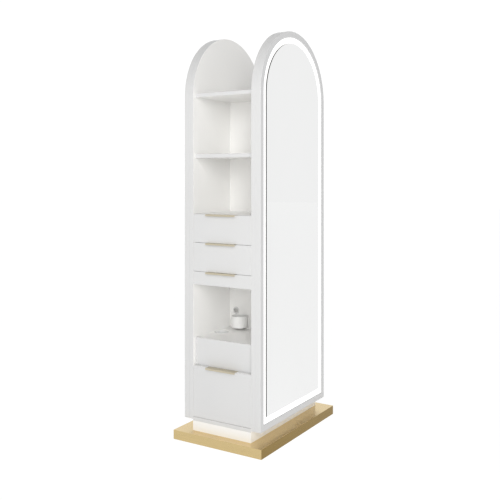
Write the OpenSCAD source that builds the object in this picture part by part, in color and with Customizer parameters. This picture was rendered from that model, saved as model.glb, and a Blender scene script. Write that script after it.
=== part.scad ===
// Double-sided salon styling station.
// Two tall arched mirror panels face -Y and +Y. A cabinet between them is open at both narrow ends,
// and each end has shelves, an open tool niche and four drawers. Everything stands on a low platform.
// Origin: centre of the platform's underside. +Z is up, and X runs along the mirrors.

/* [Platform] */
// Length of the platform along X
platform_len = 750; // [700:1:900]
// Depth of the platform along Y
platform_depth = 500; // [470:1:600]
// Height of the platform
platform_h = 46; // [40:1:80]
// Thickness of the folded sheet cover
cover_t = 2; // [1:0.5:3]
// Gap between the cover's lower edge and the floor
cover_lift = 1; // [0.5:0.5:2]

/* [Panels] */
// Width of each arched panel, twice the radius of its top
panel_w = 656; // [640:2:680]
// Height of the panels' lower edge above the floor
panel_bottom = 100; // [96:1:106]
// Height of the top of the arch
panel_top = 2000; // [1960:1:2100]
// Clear distance between the two panels
inner_gap = 332; // [320:2:340]
// Thickness of the side board behind each mirror
side_board_t = 22; // [18:1:25]
// Thickness of the mirror frame
frame_t = 30; // [26:1:34]

/* [Mirror] */
// Width of the frame's flat border
border_w = 31; // [24:1:36]
// Chamfer on the border's inner edge
border_chamfer = 3.5; // [2:0.5:5]
// Width of the glowing ring
ring_w = 28; // [20:1:34]
// Depth at the ring's inner edge
ring_depth = 8; // [6:0.5:10]
// Thickness of the opal diffuser
diffuser_t = 3; // [2:0.5:4]
// Depth of the glass behind the border
glass_depth = 3; // [1:0.5:4]
// Thickness of the backer board
backer_t = 10; // [8:1:12]

/* [Cabinet] */
// Thickness of the boards
board_t = 18; // [15:1:20]
// Thickness of the centre divider
divider_t = 6; // [4:1:12]
// Set-back of the board edges from the panels' edges
setback = 21; // [20.5:0.5:30]
// Height of the carcass floor's upper face
floor_top = 112; // [110:1:118]
// Height of the tool bay floor's upper face
bay_floor_top = 363; // [355:1:370]
// Height of the tool deck's upper face
deck_top = 495; // [480:1:510]
// Height of the niche ceiling's lower face
niche_top = 757; // [740:1:760]
// Height of the counter board's upper face
counter_top = 1100; // [1095:1:1110]
// Height of the middle shelf's upper face
shelf_top = 1390; // [1350:1:1430]
// Height of the top board's upper face
top_board_top = 1686.5; // [1650:0.5:1720]

/* [Drawers] */
// Gap above each drawer front, which holds the pull's plate
front_gap = 1.6; // [1.5:0.1:3]
// Gap at each side of a drawer front
side_gap = 0.8; // [0.5:0.1:2]
// Height of the joint between the two upper drawers
joint_upper = 961; // [950:1:970]
// Height of the joint above the shallow drawer
joint_shallow = 821; // [815:1:830]
// How far the drawers open
travel = 190; // [120:5:200]
// Thickness of the drawer box's sides
box_side_t = 12; // [10:1:15]
// Depth of the drawer boxes
box_len = 280; // [260:5:290]

/* [Pulls] */
// Length of each edge pull
pull_len = 168; // [120:1:220]
// How far the pull stands out from the front
pull_reach = 15; // [12:1:24]
// Height of the pull's lip
pull_lip = 8.5; // [6:0.5:12]
// Sheet thickness of the pull
pull_t = 1.2; // [0.8:0.1:1.4]

/* [Tool niche] */
// Outside diameter of the tool well
well_d = 66; // [50:1:70]
// Depth of the tool well
well_depth = 100; // [60:1:105]
// Distance of the tool well from the divider's centre
well_x = 145; // [135:1:200]
// Distance of the tool well from the niche's middle
well_y = 124; // [90:1:126]
// Outside diameter of the dryer holder
holder_d = 80; // [60:1:84]
// Height of the dryer holder
holder_h = 60; // [40:1:70]
// Height of the dryer holder above the deck
holder_lift = 12; // [6:1:30]
// Distance of the dryer holder from the niche's middle
holder_y = 80; // [0:1:82]
// Diameter of the cable hole in the divider
grommet_d = 30; // [24:1:36]
// Distance of the cable hole from the niche's middle
grommet_y = 128; // [124:1:142]
// Height of the cable hole above the floor
grommet_z = 582; // [580:1:720]

/* [Hidden] */
$fn = 96;
ENDS = ["front", "rear"];
ROWS = ["upper", "middle", "shallow", "deep"];
SIDES = ["near", "far"];
PIECES = ["face", "box", "pull", "slides"];

WHITE = [0.93, 0.93, 0.92];
GOLD = [0.83, 0.72, 0.5];
STEEL = [0.7, 0.71, 0.73];
DARK = [0.15, 0.15, 0.16];
GREY = [0.72, 0.72, 0.71];
TIMBER = [0.72, 0.6, 0.45];

// Gap left along a glued joint, so that the boards stay separate pieces
glue = 0.1;
// Clearance of a screw in its hole, on the radius
screw_gap = 0.05;
panel_r = panel_w / 2;
arch_z = panel_top - panel_r;
inner_y = inner_gap / 2;
outer_y = inner_y + side_board_t + frame_t;
board_x = panel_r - setback;
board_len = board_x - divider_t / 2;
inner_h = arch_z - panel_bottom;

// Depths inside a mirror, measured from the frame's outer face
backer_d = frame_t - backer_t;
glass_t = ring_depth - glass_depth;
ring_in = border_w + ring_w;
led_w = 10;
led_t = 1.5;

// Drawer fronts: [lower edge, upper edge] for each row
front_t = 18;
face_z = [
    [joint_upper + front_gap / 2, counter_top - front_gap],
    [joint_shallow + front_gap / 2, joint_upper - front_gap / 2],
    [niche_top, joint_shallow - front_gap / 2],
    [floor_top + front_gap, bay_floor_top - front_gap],
];
// Drawer boxes: [lower edge, upper edge] for each row, this far inside the front's edges
box_lifts = [8, 8, board_t + 4, 8];
box_drops = [25, 20, 15.2, 41];
box_z = [
    for (row = [0 : len(ROWS) - 1])
        [face_z[row][0] + box_lifts[row], face_z[row][1] - box_drops[row]]
];
box_bottom_t = 6;
box_x = panel_r - front_t;
pull_flange = 13;

// Drawer runners
runner_room = 13;
runner_h = 27;
runner_t = 1.2;
// Length of a runner that stays in use when its drawer is fully open
runner_overlap = 50;
// How much longer the cabinet's members are than the drawers' members
runner_extra = 10;
runner_len = travel + runner_overlap + runner_extra;
// Distance from the divider's centre to the runners' outer ends, just behind the board edges
runner_x = board_x - 3;
inner_member_h = 19;
member_depth = 8.5;
box_y = inner_y - runner_room;
// Height of the runners' centre line above each box's lower edge
runner_rise = [30, 32, 13, 48];

// Tool niche
well_wall = 2;
well_flange = 4;
well_flange_t = 1.5;
holder_wall = 2.5;
bracket_t = 3;
bracket_w = 50;
web_w = 16;
grommet_wall = 3;
grommet_flange = 4;
grommet_flange_t = 2;

// Plinth, screws, drivers and inlet
plinth_x = panel_r + 1;
core_lift = 3;
glide_d = 40;
screw_d = 7;
screw_head_d = 13;
screw_head_h = 5;
screw_bite = 32;
screw_x = plinth_x - board_t / 2;
screw_y = 100;
screw_spots = [for (x = [-screw_x, screw_x], y = [-screw_y, screw_y]) [x, y]];
socket_d = 5;
socket_depth = 3;
glide_x = 330;
glide_y = 205;
glide_spots = [for (x = [-glide_x, 0, glide_x], y = [-glide_y, 0, glide_y]) [x, y]];
driver_size = [170, 44, 24];
driver_y = 70;
inlet_w = 48;
inlet_h = 28;
inlet_recess = [15, 26, 16];
inlet_body = [19, 34, 24];

// ---- helpers ----

// A box from its lowest corner and its highest corner
module span(low, high) {
    translate(low) cube(high - low);
}

// Children drawn for the end that faces -X and, turned through 180 degrees, for the other end
module both_ends() {
    for (turn = [0, 180])
        rotate([0, 0, turn]) children();
}

// Children drawn for the end with this number: 0 faces -X and 1 faces +X
module at_end(e) {
    rotate([0, 0, 180 * e]) children();
}

// Children drawn for the panel with this number: 0 faces -Y and 1 faces +Y
module at_side(s) {
    rotate([0, 0, 180 * s]) children();
}

// A plate with a half-round top for the near panel, inset from the panel's edge, between two depths
module arch_plate(inset, depth_0, depth_1) {
    r = panel_r - inset;
    y_0 = depth_0 - outer_y;
    y_1 = depth_1 - outer_y;
    translate([0, y_1, arch_z])
        rotate([90, 0, 0])
            rotate_extrude(angle = 180) square([r, y_1 - y_0]);
    span([-r, y_0, panel_bottom + inset], [r, y_1, arch_z]);
}

// A rail that follows the near panel's edge: up one side, over the arch, down and along the bottom,
// with mitred lower corners. The profile's points are [inset from the edge, depth from the face].
module edge_rail(profile) {
    reach = max([for (p = profile) p[0]]);
    for (flip = [0, 1])
        mirror([flip, 0, 0])
            difference() {
                translate([0, 0, panel_bottom])
                    linear_extrude(inner_h)
                        polygon([for (p = profile) [p[0] - panel_r, p[1] - outer_y]]);
                mitre_wedge(reach);
            }
    translate([0, -outer_y, arch_z])
        rotate([90, 0, 0])
            rotate_extrude(angle = 180)
                polygon([for (p = profile) [panel_r - p[0], -p[1]]]);
    intersection() {
        translate([-panel_r, 0, 0])
            rotate([90, 0, 90])
                linear_extrude(panel_w)
                    polygon([for (p = profile) [p[1] - outer_y, p[0] + panel_bottom]]);
        mitre_wedge(reach);
    }
}

// The part of a bottom rail between its two 45 degree mitres, cut this far up from the panel's edge
module mitre_wedge(reach) {
    translate([0, 1 - inner_y, panel_bottom])
        rotate([90, 0, 0])
            linear_extrude(side_board_t + frame_t + 2)
                polygon([[-panel_r, 0], [panel_r, 0], [panel_r - reach, reach], [reach - panel_r, reach]]);
}

// A board of one end, from the set-back edge to the divider, with its upper face at z
module end_board(z, thick = board_t) {
    span([-board_x, -inner_y, z - thick], [-divider_t / 2, inner_y, z]);
}

// ---- platform ----

module base_cover() {
    color(GOLD)
        difference() {
            span([-platform_len / 2, -platform_depth / 2, cover_lift],
                 [platform_len / 2, platform_depth / 2, platform_h]);
            span([cover_t - platform_len / 2, cover_t - platform_depth / 2, cover_lift - 1],
                 [platform_len / 2 - cover_t, platform_depth / 2 - cover_t, platform_h - cover_t]);
            screw_holes(platform_h);
        }
}

module base_core() {
    color(TIMBER)
        difference() {
            span([cover_t + glue - platform_len / 2, cover_t + glue - platform_depth / 2, core_lift],
                 [platform_len / 2 - cover_t - glue, platform_depth / 2 - cover_t - glue,
                  platform_h - cover_t]);
            screw_holes(platform_h);
        }
}

// Holes of the long screws, with room for their heads at the core's underside
module screw_holes(z_high) {
    for (p = screw_spots) {
        translate([p[0], p[1], 0])
            cylinder(d = screw_head_d + 1, h = core_lift + screw_head_h + 1);
        translate([p[0], p[1], 0])
            cylinder(r = screw_d / 2 + screw_gap, h = z_high + 1);
    }
}

module base_glides() {
    color(DARK)
        for (p = glide_spots)
            translate([p[0], p[1], 0]) cylinder(d = glide_d, h = core_lift);
}

module plinth() {
    floor_z = floor_top - board_t;
    color(WHITE)
        difference() {
            union() {
                for (sx = [-1, 1])
                    translate([sx * (plinth_x - board_t / 2), 0, (platform_h + floor_z) / 2])
                        cube([board_t, inner_gap, floor_z - platform_h], center = true);
                for (sy = [-1, 1])
                    translate([0, sy * (inner_y - board_t / 2), (platform_h + floor_z) / 2])
                        cube([2 * (plinth_x - board_t - glue), board_t, floor_z - platform_h],
                             center = true);
            }
            for (p = screw_spots)
                translate([p[0], p[1], platform_h - 1])
                    cylinder(r = screw_d / 2 + screw_gap, h = screw_bite + 1.5);
            translate([plinth_x - board_t - 1, -inlet_body[1] / 2 - glue,
                       inlet_z() - inlet_body[2] / 2 - glue])
                cube([board_t + 2, inlet_body[1] + 2 * glue, inlet_body[2] + 2 * glue]);
        }
}

module assembly_screws() {
    head_z = core_lift + 1;
    color(STEEL)
        for (p = screw_spots)
            translate([p[0], p[1], 0])
                difference() {
                    union() {
                        translate([0, 0, head_z])
                            cylinder(d = screw_head_d, h = screw_head_h);
                        translate([0, 0, head_z + screw_head_h])
                            cylinder(d = screw_d, h = platform_h + screw_bite - head_z - screw_head_h);
                    }
                    translate([0, 0, head_z - 1])
                        cylinder(d = socket_d, h = socket_depth + 1, $fn = 6);
                }
}

function inlet_z() = (platform_h + floor_top - board_t) / 2;

// Mains inlet in the plinth board that faces +X: a flange, a body and the recess for the connector
module power_inlet() {
    flange_t = 2;
    color(DARK)
        translate([plinth_x, 0, inlet_z()])
            difference() {
                union() {
                    translate([0, -inlet_w / 2, -inlet_h / 2])
                        cube([flange_t, inlet_w, inlet_h]);
                    translate([flange_t - inlet_body[0], -inlet_body[1] / 2, -inlet_body[2] / 2])
                        cube([inlet_body[0] - flange_t / 2, inlet_body[1], inlet_body[2]]);
                }
                translate([flange_t - inlet_recess[0], -inlet_recess[1] / 2, -inlet_recess[2] / 2])
                    cube([inlet_recess[0] + 1, inlet_recess[1], inlet_recess[2]]);
            }
}

// One driver for each mirror, lying in the plinth
module led_drivers() {
    color(DARK)
        for (sy = [-1, 1])
            translate([0, sy * driver_y, platform_h + driver_size[2] / 2])
                cube(driver_size, center = true);
}

// ---- carcass ----

// Carcass floor, bay floors over the deep drawers and niche ceilings under the shallow drawers
module carcass_boards() {
    color(WHITE) {
        span([-plinth_x, -inner_y, floor_top - board_t], [plinth_x, inner_y, floor_top]);
        both_ends() end_board(bay_floor_top);
        both_ends() end_board(niche_top + board_t);
    }
}

module divider() {
    color(WHITE)
        difference() {
            span([-divider_t / 2, -inner_y, floor_top],
                 [divider_t / 2, inner_y, top_board_top - board_t]);
            both_ends()
                translate([-divider_t, grommet_y, grommet_z])
                    rotate([0, 90, 0]) cylinder(d = grommet_d, h = 2 * divider_t);
        }
}

module side_board() {
    color(WHITE) arch_plate(0, frame_t, frame_t + side_board_t);
}

module top_board() {
    color(WHITE)
        span([-board_x, -inner_y, top_board_top - board_t], [board_x, inner_y, top_board_top]);
}

module middle_shelves() {
    color(WHITE) both_ends() end_board(shelf_top);
}

module counter_boards() {
    color(WHITE) both_ends() end_board(counter_top);
}

// ---- mirrors ----

module mirror_frame() {
    edge = 1;
    color(WHITE)
        edge_rail([
            [0, edge],
            [edge, 0],
            [border_w - border_chamfer, 0],
            [border_w, border_chamfer],
            [border_w, frame_t],
            [0, frame_t],
        ]);
}

module light_diffuser() {
    color([1, 1, 0.97])
        edge_rail([
            [border_w, border_chamfer],
            [ring_in, ring_depth],
            [ring_in, ring_depth + diffuser_t],
            [border_w, border_chamfer + diffuser_t],
        ]);
}

module mirror_glass() {
    color([0.8, 0.84, 0.86]) arch_plate(ring_in, glass_depth, ring_depth);
}

// Backer board inside each frame and the spacer board that carries the glass
module mirror_backers() {
    color(TIMBER)
        both_ends() {
            arch_plate(border_w, backer_d, frame_t);
            arch_plate(ring_in, ring_depth, backer_d - glue);
        }
}

module led_strips() {
    middle = border_w + ring_w / 2;
    color([1, 0.95, 0.8])
        both_ends()
            edge_rail([
                [middle - led_w / 2, backer_d - led_t],
                [middle + led_w / 2, backer_d - led_t],
                [middle + led_w / 2, backer_d],
                [middle - led_w / 2, backer_d],
            ]);
}

// ---- tool niche ----

module tool_decks() {
    color(WHITE)
        both_ends()
            difference() {
                span([front_t + glue - board_x, -inner_y, deck_top - board_t],
                     [-divider_t / 2, inner_y, deck_top]);
                translate([-well_x, well_y, deck_top - 2 * board_t])
                    cylinder(r = well_d / 2 + screw_gap, h = 3 * board_t);
            }
}

module tool_fronts() {
    color(WHITE)
        both_ends()
            span([-board_x, side_gap - inner_y, bay_floor_top],
                 [front_t - board_x, inner_y - side_gap, deck_top]);
}

module tool_wells() {
    color(WHITE)
        both_ends()
            translate([-well_x, well_y, 0])
                difference() {
                    union() {
                        translate([0, 0, deck_top - well_depth])
                            cylinder(d = well_d, h = well_depth + well_flange_t / 2);
                        translate([0, 0, deck_top])
                            cylinder(d = well_d + 2 * well_flange, h = well_flange_t);
                    }
                    translate([0, 0, deck_top - well_depth + well_wall])
                        cylinder(d = well_d - 2 * well_wall, h = well_depth + 2);
                }
}

// A cup on a bracket against the divider, over the deck
module dryer_holders() {
    reach = divider_t / 2 + bracket_t + holder_d / 2;
    low = deck_top + holder_lift;
    color(WHITE)
        both_ends()
            difference() {
                union() {
                    translate([-reach, holder_y, low])
                        cylinder(d = holder_d, h = holder_h);
                    span([-divider_t / 2 - bracket_t, holder_y - bracket_w / 2, low],
                         [-divider_t / 2, holder_y + bracket_w / 2, low + holder_h]);
                    span([-reach, holder_y - web_w / 2, low],
                         [-divider_t / 2 - bracket_t / 2, holder_y + web_w / 2, low + holder_h]);
                }
                translate([-reach, holder_y, low + holder_wall])
                    cylinder(d = holder_d - 2 * holder_wall, h = holder_h);
            }
}

module cable_grommets() {
    back = -divider_t / 2 - grommet_flange_t;
    color(GREY)
        both_ends()
            translate([0, grommet_y, grommet_z])
                rotate([0, 90, 0])
                    difference() {
                        union() {
                            translate([0, 0, back])
                                cylinder(d = grommet_d + 2 * grommet_flange, h = grommet_flange_t);
                            translate([0, 0, back])
                                cylinder(r = grommet_d / 2 - screw_gap, h = divider_t + grommet_flange_t);
                        }
                        translate([0, 0, -divider_t])
                            cylinder(d = grommet_d - 2 * grommet_wall, h = 2 * divider_t);
                    }
}

// ---- drawers ----

// Height of a row's runners
function runner_z(row) = box_z[row][0] + runner_rise[row];

// A channel on the -Y side of an end that faces -X: web against y_web, flanges towards y_open
module channel(x_0, x_1, z, y_web, y_open, high) {
    inward = sign(y_open - y_web);
    y_low = min(y_web, y_open);
    y_high = max(y_web, y_open);
    difference() {
        span([x_0, y_low, z - high / 2], [x_1, y_high, z + high / 2]);
        translate([0, inward * runner_t, 0])
            span([x_0 - 1, y_low, z - high / 2 + runner_t], [x_1 + 1, y_high, z + high / 2 - runner_t]);
    }
}

// Cabinet members of all the runners, fixed to the side boards
module cabinet_runners() {
    color(STEEL)
        both_ends()
            for (row = [0 : len(ROWS) - 1], flip = [0, 1])
                mirror([0, flip, 0])
                    channel(-runner_x, runner_len - runner_x, runner_z(row),
                            -inner_y, member_depth - inner_y, runner_h);
}

// Drawer members, fixed to both sides of a drawer box
module drawer_slides(end, row) {
    color(STEEL)
        at_end(end)
            for (flip = [0, 1])
                mirror([0, flip, 0])
                    channel(-runner_x, runner_len - runner_extra - runner_x, runner_z(row),
                            -box_y, -box_y - member_depth, inner_member_h);
}

module drawer_face(end, row) {
    color(WHITE)
        at_end(end)
            span([-panel_r, side_gap - inner_y, face_z[row][0]],
                 [front_t - panel_r, inner_y - side_gap, face_z[row][1]]);
}

// Two sides, two ends and a bottom, each a separate board
module drawer_box(end, row) {
    low = box_z[row][0];
    high = box_z[row][1];
    end_y = box_y - box_side_t - glue;
    color(WHITE)
        at_end(end) {
            for (sy = [-1, 1])
                translate([-box_x, sy * (box_y - box_side_t / 2) - box_side_t / 2, low])
                    cube([box_len, box_side_t, high - low]);
            for (x = [-box_x, box_len - box_x - box_side_t])
                translate([x, -end_y, low])
                    cube([box_side_t, 2 * end_y, high - low]);
            translate([box_side_t + glue - box_x, -end_y, low])
                cube([box_len - 2 * (box_side_t + glue), 2 * end_y, box_bottom_t]);
        }
}

// An edge pull bent from sheet: a flange behind the front, a plate over its edge and a lip in front
module drawer_pull(end, row) {
    z = face_z[row][1];
    back = front_t - panel_r;
    nose = -panel_r - pull_reach;
    color(GOLD)
        at_end(end)
            translate([0, pull_len / 2, 0])
                rotate([90, 0, 0])
                    linear_extrude(pull_len)
                        polygon([
                            [back, z - pull_flange],
                            [back + pull_t, z - pull_flange],
                            [back + pull_t, z + pull_t],
                            [nose, z + pull_t],
                            [nose, z + pull_t - pull_lip],
                            [nose + pull_t, z + pull_t - pull_lip],
                            [nose + pull_t, z],
                            [back, z],
                        ]);
}

// ---- assembly ----

base_cover();
base_core();
base_glides();
plinth();
carcass_boards();
divider();
for (s = [0, 1]) {
    at_side(s) side_board();
    at_side(s) mirror_frame();
    at_side(s) light_diffuser();
    at_side(s) mirror_glass();
}
mirror_backers();
led_strips();
led_drivers();
power_inlet();
top_board();
middle_shelves();
counter_boards();
tool_decks();
tool_fronts();
tool_wells();
dryer_holders();
cable_grommets();
cabinet_runners();
assembly_screws();
for (e = [0 : len(ENDS) - 1], r = [0 : len(ROWS) - 1]) {
    drawer = str(ENDS[e], "_", ROWS[r], "_");
    drawer_face(e, r);
    drawer_box(e, r);
    drawer_pull(e, r);
    drawer_slides(e, r);
}
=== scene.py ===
"""Looks of a double-sided salon styling station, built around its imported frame.

Every piece is in metres in the frame's own coordinates: +Z up, X along the mirrors, the origin on the
floor under the middle of the platform.
"""

from dataclasses import dataclass, field
from enum import Enum
import logging
import math
from typing import Any, Callable, Sequence

import bmesh
import bpy
from mathutils import Matrix, Vector


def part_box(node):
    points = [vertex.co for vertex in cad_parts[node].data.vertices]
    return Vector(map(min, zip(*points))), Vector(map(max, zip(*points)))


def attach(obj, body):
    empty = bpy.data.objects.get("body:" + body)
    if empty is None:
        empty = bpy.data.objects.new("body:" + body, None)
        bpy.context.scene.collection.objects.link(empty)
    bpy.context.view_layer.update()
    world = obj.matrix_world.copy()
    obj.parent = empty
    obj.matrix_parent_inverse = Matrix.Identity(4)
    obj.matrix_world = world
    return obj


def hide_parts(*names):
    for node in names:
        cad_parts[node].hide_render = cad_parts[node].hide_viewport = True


logging.basicConfig(level=logging.INFO, format="%(name)s: %(message)s")
LOG = logging.getLogger("station")

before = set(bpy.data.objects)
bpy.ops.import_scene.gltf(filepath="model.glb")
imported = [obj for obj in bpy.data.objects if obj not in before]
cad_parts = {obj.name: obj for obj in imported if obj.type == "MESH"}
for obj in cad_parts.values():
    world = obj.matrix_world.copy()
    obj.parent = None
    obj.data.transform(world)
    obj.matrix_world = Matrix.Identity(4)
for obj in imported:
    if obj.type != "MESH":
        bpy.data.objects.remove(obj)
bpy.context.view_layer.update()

MM = 0.001
Triple = tuple[float, float, float]
Colour = Triple
Point = tuple[float, float]


# ---------------------------------------------------------------- node trees


class Wire:
    """A socket's value in a shader tree. Arithmetic on it adds Math nodes."""

    def __init__(self, graph: "Graph", socket: bpy.types.NodeSocket) -> None:
        """Wraps an output socket of this tree."""
        self.graph = graph
        self.socket = socket

    def math(self, operation: str, *others: Any) -> "Wire":
        """Adds a Math node that takes this value first and then the others, wires or numbers."""
        return self.graph.math(operation, self, *others)

    def __add__(self, other: Any) -> "Wire":
        """Sum."""
        return self.math("ADD", other)

    __radd__ = __add__

    def __mul__(self, other: Any) -> "Wire":
        """Product."""
        return self.math("MULTIPLY", other)

    __rmul__ = __mul__

    def __sub__(self, other: Any) -> "Wire":
        """Difference."""
        return self.math("SUBTRACT", other)

    def __rsub__(self, other: Any) -> "Wire":
        """Difference, taken from a number."""
        return self.graph.math("SUBTRACT", other, self)

    def smooth(self, low: float, high: float) -> "Wire":
        """A smooth step.

        Args:
            low: the value at which the step leaves 0.
            high: the value at which it reaches 1.

        Returns:
            The step, from 0 to 1.
        """
        node = self.graph.add(
            "ShaderNodeMapRange",
            {"interpolation_type": "SMOOTHSTEP"},
            {"Value": self, "From Min": low, "From Max": high},
        )
        return Wire(self.graph, node.outputs["Result"])


class Graph:
    """A node tree with one way to add a node."""

    def __init__(self, tree: bpy.types.NodeTree) -> None:
        """Keeps the tree."""
        self.tree = tree

    def feed(self, socket: bpy.types.NodeSocket, value: Any) -> None:
        """Links or sets an input.

        Args:
            socket: the input socket.
            value: a wire, an output socket or a plain value.
        """
        if isinstance(value, Wire):
            value = value.socket
        if isinstance(value, bpy.types.NodeSocket):
            self.tree.links.new(value, socket)
        else:
            socket.default_value = value

    def add(
        self,
        kind: str,
        settings: dict[str, Any] | None = None,
        inputs: dict[int | str, Any] | None = None,
    ) -> bpy.types.Node:
        """Adds a node.

        Args:
            kind: the node's type.
            settings: its properties, set before its inputs; "stops" gives a ramp's positions and colours.
            inputs: values or links by the input's name or number.

        Returns:
            The node.
        """
        node = self.tree.nodes.new(kind)
        for name, value in (settings or {}).items():
            if name == "stops":
                ramp = node.color_ramp.elements
                while len(ramp) < len(value):
                    ramp.new(0.5)
                for stop, (place, colour) in zip(ramp, value):
                    stop.position = place
                    stop.color = colour
            else:
                setattr(node, name, value)
        for key, value in (inputs or {}).items():
            self.feed(node.inputs[key], value)
        return node

    def math(self, operation: str, *operands: Any) -> Wire:
        """Adds a Math node with this operation on wires or numbers."""
        node = self.add("ShaderNodeMath", {"operation": operation}, dict(enumerate(operands)))
        return Wire(self, node.outputs[0])


class Shade(Graph):
    """A material's shader tree, ending in one Principled shader."""

    def __init__(self, name: str) -> None:
        """Starts an empty material.

        Args:
            name: the material's name.
        """
        self.material = bpy.data.materials.new(name)
        self.material.use_nodes = True
        super().__init__(self.material.node_tree)
        self.tree.nodes.clear()
        self.principled = self.add("ShaderNodeBsdfPrincipled")
        output = self.add("ShaderNodeOutputMaterial")
        self.feed(output.inputs["Surface"], self.principled.outputs[0])
        self.place = self.add("ShaderNodeTexCoord")

    def stretched(self, scale: Triple) -> bpy.types.NodeSocket:
        """Object coordinates, scaled differently along each axis.

        Args:
            scale: repeats per metre along X, Y and Z.

        Returns:
            The scaled vector.
        """
        mapping = self.add(
            "ShaderNodeMapping", None, {"Vector": self.place.outputs["Object"], "Scale": scale}
        )
        return mapping.outputs["Vector"]

    def noise(self, scale: Triple, detail: float = 2.0, roughness: float = 0.5) -> Wire:
        """Fractal noise on object coordinates.

        Args:
            scale: features per metre along X, Y and Z.
            detail: number of octaves.
            roughness: strength of the finer octaves.

        Returns:
            The noise, about 0 to 1 around 0.5.
        """
        node = self.add(
            "ShaderNodeTexNoise",
            None,
            {"Vector": self.stretched(scale), "Scale": 1.0, "Detail": detail, "Roughness": roughness},
        )
        return Wire(self, node.outputs[0])

    def facing(self, axis: str) -> Wire:
        """How far the surface faces along an axis, whichever way round, from 0 to 1."""
        parts = self.add("ShaderNodeSeparateXYZ", None, {0: self.place.outputs["Normal"]})
        return Wire(self, parts.outputs[axis]).math("ABSOLUTE")

    def blend(self, amount: Any, first: Any, second: Any) -> bpy.types.NodeSocket:
        """Mixes two colours, the first at an amount of 0 and the second at 1."""
        mix = self.add("ShaderNodeMix", {"data_type": "RGBA"}, {0: amount, 6: rgba(first), 7: rgba(second)})
        return mix.outputs[2]

    def shaded(self, colour: Any, amount: Wire, depth: float) -> bpy.types.NodeSocket:
        """Darkens a colour.

        Args:
            colour: the colour, a socket or a plain value.
            amount: how much of the darkening shows, 0 to 1.
            depth: the factor at full darkening.

        Returns:
            The darkened colour.
        """
        mix = self.add(
            "ShaderNodeMix",
            {"data_type": "RGBA", "blend_type": "MULTIPLY"},
            {0: amount, 6: rgba(colour), 7: (depth, depth, depth, 1.0)},
        )
        return mix.outputs[2]

    def bump(self, height: Wire, strength: float, distance: float) -> None:
        """Feeds a bump to the shader's normal.

        Args:
            height: the height field.
            strength: share of the bump that shows.
            distance: real height of a full step, in metres.
        """
        node = self.add(
            "ShaderNodeBump", None, {"Height": height, "Strength": strength, "Distance": distance}
        )
        self.feed(self.principled.inputs["Normal"], node.outputs[0])

    def set(self, **values: Any) -> None:
        """Sets the Principled shader's inputs, with underscores for the spaces in their names."""
        for name, value in values.items():
            socket = self.principled.inputs[name.replace("_", " ")]
            self.feed(socket, rgba(value) if isinstance(value, tuple) and len(value) == 3 else value)


def rgba(colour: Any) -> Any:
    """Gives a plain colour its alpha.

    Args:
        colour: a colour, or anything else.

    Returns:
        The colour with an alpha of 1, or whatever else was given, unchanged.
    """
    if isinstance(colour, tuple) and len(colour) == 3:
        return (*colour, 1.0)
    return colour


def tinted(colour: Colour, factor: float) -> Colour:
    """A colour with each part multiplied by a factor."""
    return tuple(min(1.0, part * factor) for part in colour)


# ---------------------------------------------------------------- finishes


@dataclass(frozen=True)
class Lacquer:
    """Sprayed satin lacquer on board: faint clouds in its tone and a fine orange peel."""

    name: str
    colour: Colour
    roughness: float = 0.36
    coat: float = 0.18
    peel_per_m: float = 420.0
    peel_height: float = 0.00006

    def make(self) -> bpy.types.Material:
        """Builds the material.

        Returns:
            The material.
        """
        shade = Shade(self.name)
        clouds = shade.noise((2.2, 2.2, 2.2), 3.0)
        peel = shade.noise((self.peel_per_m,) * 3, 2.0, 0.45)
        specks = shade.noise((1400.0,) * 3, 1.0).smooth(0.66, 0.78)
        tone = shade.blend(clouds.smooth(0.3, 0.7), tinted(self.colour, 0.985), tinted(self.colour, 1.01))
        shade.set(
            Base_Color=shade.blend(specks * 0.06, tone, tinted(self.colour, 0.8)),
            Roughness=self.roughness + (clouds - 0.5) * 0.08 + (peel - 0.5) * 0.06,
            Coat_Weight=self.coat,
            Coat_Roughness=0.22,
        )
        shade.bump(peel, 0.35, self.peel_height)
        return shade.material


@dataclass(frozen=True)
class Melamine:
    """Melamine facing of drawer boards: a pebbled press texture."""

    name: str
    colour: Colour
    roughness: float = 0.5

    def make(self) -> bpy.types.Material:
        """Builds the material.

        Returns:
            The material.
        """
        shade = Shade(self.name)
        cells = shade.add(
            "ShaderNodeTexVoronoi",
            {"feature": "SMOOTH_F1"},
            {"Vector": shade.stretched((1.0, 1.0, 1.0)), "Scale": 620.0, "Smoothness": 0.8},
        )
        pebble = Wire(shade, cells.outputs["Distance"])
        clouds = shade.noise((5.0, 5.0, 5.0), 2.0)
        shade.set(
            Base_Color=shade.blend(clouds * 0.5 + pebble * 0.3, self.colour, tinted(self.colour, 0.93)),
            Roughness=self.roughness + (clouds - 0.5) * 0.1,
        )
        shade.bump(pebble, 0.4, 0.00008)
        return shade.material


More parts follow.
